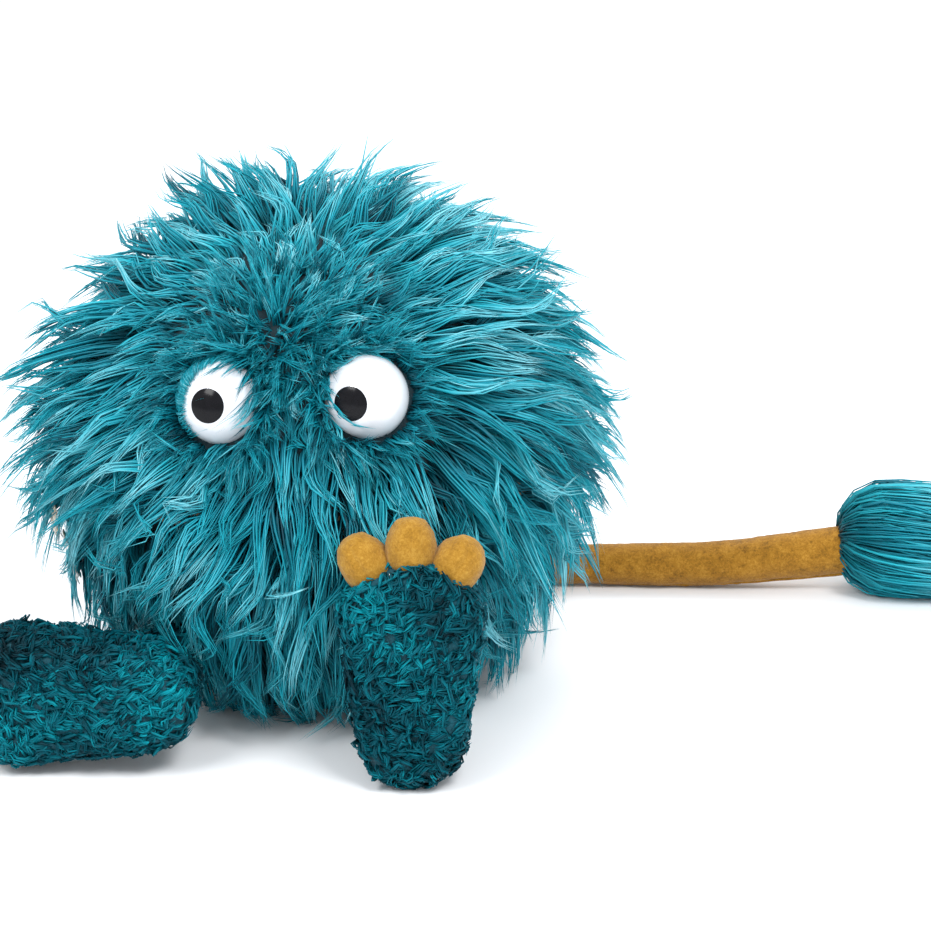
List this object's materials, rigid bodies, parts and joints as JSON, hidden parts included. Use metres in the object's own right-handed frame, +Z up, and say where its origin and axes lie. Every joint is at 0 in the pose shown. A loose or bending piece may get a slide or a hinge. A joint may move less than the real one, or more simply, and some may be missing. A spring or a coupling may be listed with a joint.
{
  "type": "moving mouth puppet",
  "caption": "Furry ball-shaped hand puppet with an opening mouth, half-ball eyes, limp plush feet with felt toes and a felt tail with a fur tuft",
  "frame": {"origin": "middle of the flat underside of the ball, where the puppet rests", "axes": "puppet faces -Y, +Z up, tail lies towards +X"},
  "size_m": [0.539, 0.2854, 0.24],
  "materials": {
    "fur": "long teal fake fur with pale tips, combed in locks",
    "curly_plush": "short curly dark teal plush",
    "felt": "mustard wool felt",
    "mouth_felt": "dark felt mouth lining",
    "board": "stiff sheet",
    "foam": "open-cell foam",
    "lining_cloth": "plain woven lining",
    "stuffing": "polyester stuffing",
    "bean_cloth": "cotton bag of beans",
    "eye_white": "polished white plastic",
    "pupil_black": "polished black plastic",
    "eye_stem": "moulded plastic",
    "beige_label": "woven ribbon, blank",
    "white_label": "satin ribbon, blank"
  },
  "bodies": {
    "body": {"body_fur": "fur", "body_foam": "foam", "lower_mouth_lining": "mouth_felt", "lower_mouth_plate": "board", "mouth_fold_tape": "mouth_felt", "thumb_pocket": "lining_cloth", "hand_sleeve": "lining_cloth", "sleeve_hem": "lining_cloth", "neck_gusset": "fur", "woven_label": "beige_label", "care_label": "white_label", "ribbon_end": "white_label"},
    "head": {"head_fur": "fur", "head_foam": "foam", "upper_mouth_lining": "mouth_felt", "upper_mouth_plate": "board", "finger_pocket": "lining_cloth", "left_eye": "eye_white", "left_pupil": "pupil_black", "left_eye_stem": "eye_stem", "left_eye_washer": "eye_stem", "right_eye": "eye_white", "right_pupil": "pupil_black", "right_eye_stem": "eye_stem", "right_eye_washer": "eye_stem"},
    "left_leg": {"left_leg_sleeve": "curly_plush", "left_leg_stuffing": "stuffing"},
    "right_leg": {"right_leg_sleeve": "curly_plush", "right_leg_stuffing": "stuffing"},
    "tail": {"tail_felt": "felt", "tail_stuffing": "stuffing"},
    "tail_tip": {"tail_tuft": "fur", "tuft_core": "stuffing"},
    "left_foot": {"left_foot_cover": "curly_plush", "left_foot_stuffing": "stuffing", "left_bean_bag": "bean_cloth", "left_inner_toe": "felt", "left_middle_toe": "felt", "left_outer_toe": "felt"},
    "right_foot": {"right_foot_cover": "curly_plush", "right_foot_stuffing": "stuffing", "right_bean_bag": "bean_cloth", "right_inner_toe": "felt", "right_middle_toe": "felt", "right_outer_toe": "felt"}
  },
  "joints": [
    {"name": "mouth_open", "type": "hinge", "parent": "body", "child": "head", "pos_m": [0, 0.015, 0.108], "axis": [-1, 0, 0], "range_deg": [0, 32], "deforming": ["neck_gusset"]},
    {"name": "left_leg_swing", "type": "hinge", "parent": "body", "child": "left_leg", "pos_m": [0.05, -0.084, 0.042], "axis": [0, 0, 1], "range_deg": [-8, 25]},
    {"name": "right_leg_swing", "type": "hinge", "parent": "body", "child": "right_leg", "pos_m": [-0.056, -0.08, 0.04], "axis": [0, 0, -1], "range_deg": [-8, 25]},
    {"name": "left_foot_tilt", "type": "hinge", "parent": "left_leg", "child": "left_foot", "pos_m": [0.054, -0.107, 0.0425], "axis": [1, 0, 0], "range_deg": [-4, 18]},
    {"name": "right_foot_tilt", "type": "hinge", "parent": "right_leg", "child": "right_foot", "pos_m": [-0.062, -0.101, 0.0345], "axis": [0, 0, 1], "range_deg": [-10, 18]},
    {"name": "tail_swing", "type": "hinge", "parent": "body", "child": "tail", "pos_m": [0.05, 0.07, 0.036], "axis": [0, 0, 1], "range_deg": [-12, 35]},
    {"name": "tuft_swing", "type": "hinge", "parent": "tail", "child": "tail_tip", "pos_m": [0.262, 0.113, 0.022], "axis": [0, 0, 1], "range_deg": [-20, 20]}
  ]
}
